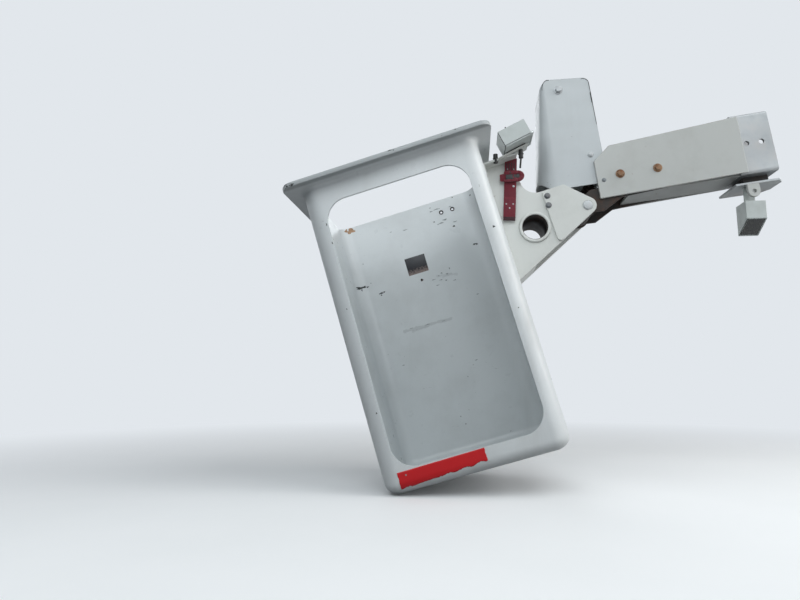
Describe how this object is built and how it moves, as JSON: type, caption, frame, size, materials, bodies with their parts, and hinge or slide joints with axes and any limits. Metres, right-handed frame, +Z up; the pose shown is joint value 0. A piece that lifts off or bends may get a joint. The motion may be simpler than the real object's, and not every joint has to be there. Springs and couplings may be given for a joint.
{
  "type": "work platform bucket with boom tip",
  "caption": "Open-sided moulded work platform bucket on a tilting bracket, with its boom tip, levelling cylinder, tip cover and side console.",
  "frame": {"origin": "middle of the boom socket's mouth", "axes": "+Z up, +X out of the socket along the ground, +Y away from the bucket's open side"},
  "size_m": [1.7206, 0.7278, 1.4624],
  "materials": {
    "black_plastic": "matt black",
    "bronze": "bush bronze",
    "chrome_rod": "polished",
    "dark_steel": "dark, rusty steel",
    "gelcoat": "moulded white gelcoat, scuffed",
    "grey_plastic": "light grey, weathered",
    "pin_steel": "turned steel",
    "red_strap": "maroon webbing",
    "white_paint": "white enamel",
    "zinc": "dull grey metal"
  },
  "bodies": {
    "boom_tip": {"barrel_pin": "pin_steel", "base_plate": "zinc", "boom_sleeve": "zinc", "bush_far": "bronze", "bush_near": "bronze", "cheek_far": "white_paint", "cheek_near": "white_paint", "cover_stay": "pin_steel", "eye_lug": "white_paint", "lamp_glass": "black_plastic", "lamp_housing": "grey_plastic", "pivot_lug_far": "dark_steel", "pivot_lug_near": "dark_steel", "stand_off": "dark_steel", "tip_bottom_plate": "white_paint", "tip_cover": "gelcoat", "tip_top_plate": "white_paint"},
    "bucket": {"arm_plate_far": "white_paint", "arm_plate_near": "white_paint", "back_plate": "white_paint", "bracket_plate_far": "white_paint", "bracket_plate_near": "white_paint", "bucket_shell": "gelcoat", "console_base": "black_plastic", "console_body": "grey_plastic", "console_shelf": "white_paint", "control_levers": "black_plastic", "level_horn": "dark_steel", "lid_pin": "pin_steel", "lower_flange": "white_paint", "pivot_pin": "pin_steel", "strap": "red_strap", "strap_keeper": "red_strap", "torque_tube": "white_paint"},
    "level_barrel": {"level_barrel": "dark_steel"},
    "level_rod": {"level_rod": "chrome_rod"},
    "console_lid": {"console_lid": "grey_plastic"}
  },
  "joints": [
    {"name": "bucket_tilt", "type": "hinge", "parent": "boom_tip", "child": "bucket", "pos_m": [-0.63802, 0, -0.21939], "axis": [0, -1, 0], "range_deg": [-26, 71]},
    {"name": "barrel_swing", "type": "hinge", "parent": "boom_tip", "child": "level_barrel", "pos_m": [-0.20234, 0, -0.07522], "axis": [0, -1, 0], "range_deg": [-1, 1]},
    {"name": "rod_slide", "type": "slide", "parent": "level_barrel", "child": "level_rod", "axis": [-0.9891, 0, -0.147], "range_m": [-0.036, 0.096]},
    {"name": "lid_hinge", "type": "hinge", "parent": "bucket", "child": "console_lid", "pos_m": [-0.83325, -0.161, 0.01668], "axis": [0, 1, 0], "range_deg": [0, 100]}
  ],
  "couplings": [
    {"joint": "barrel_swing", "follows": "bucket_tilt", "ratio": 0.004},
    {"joint": "rod_slide", "follows": "bucket_tilt", "m_per_rad": 0.076}
  ]
}
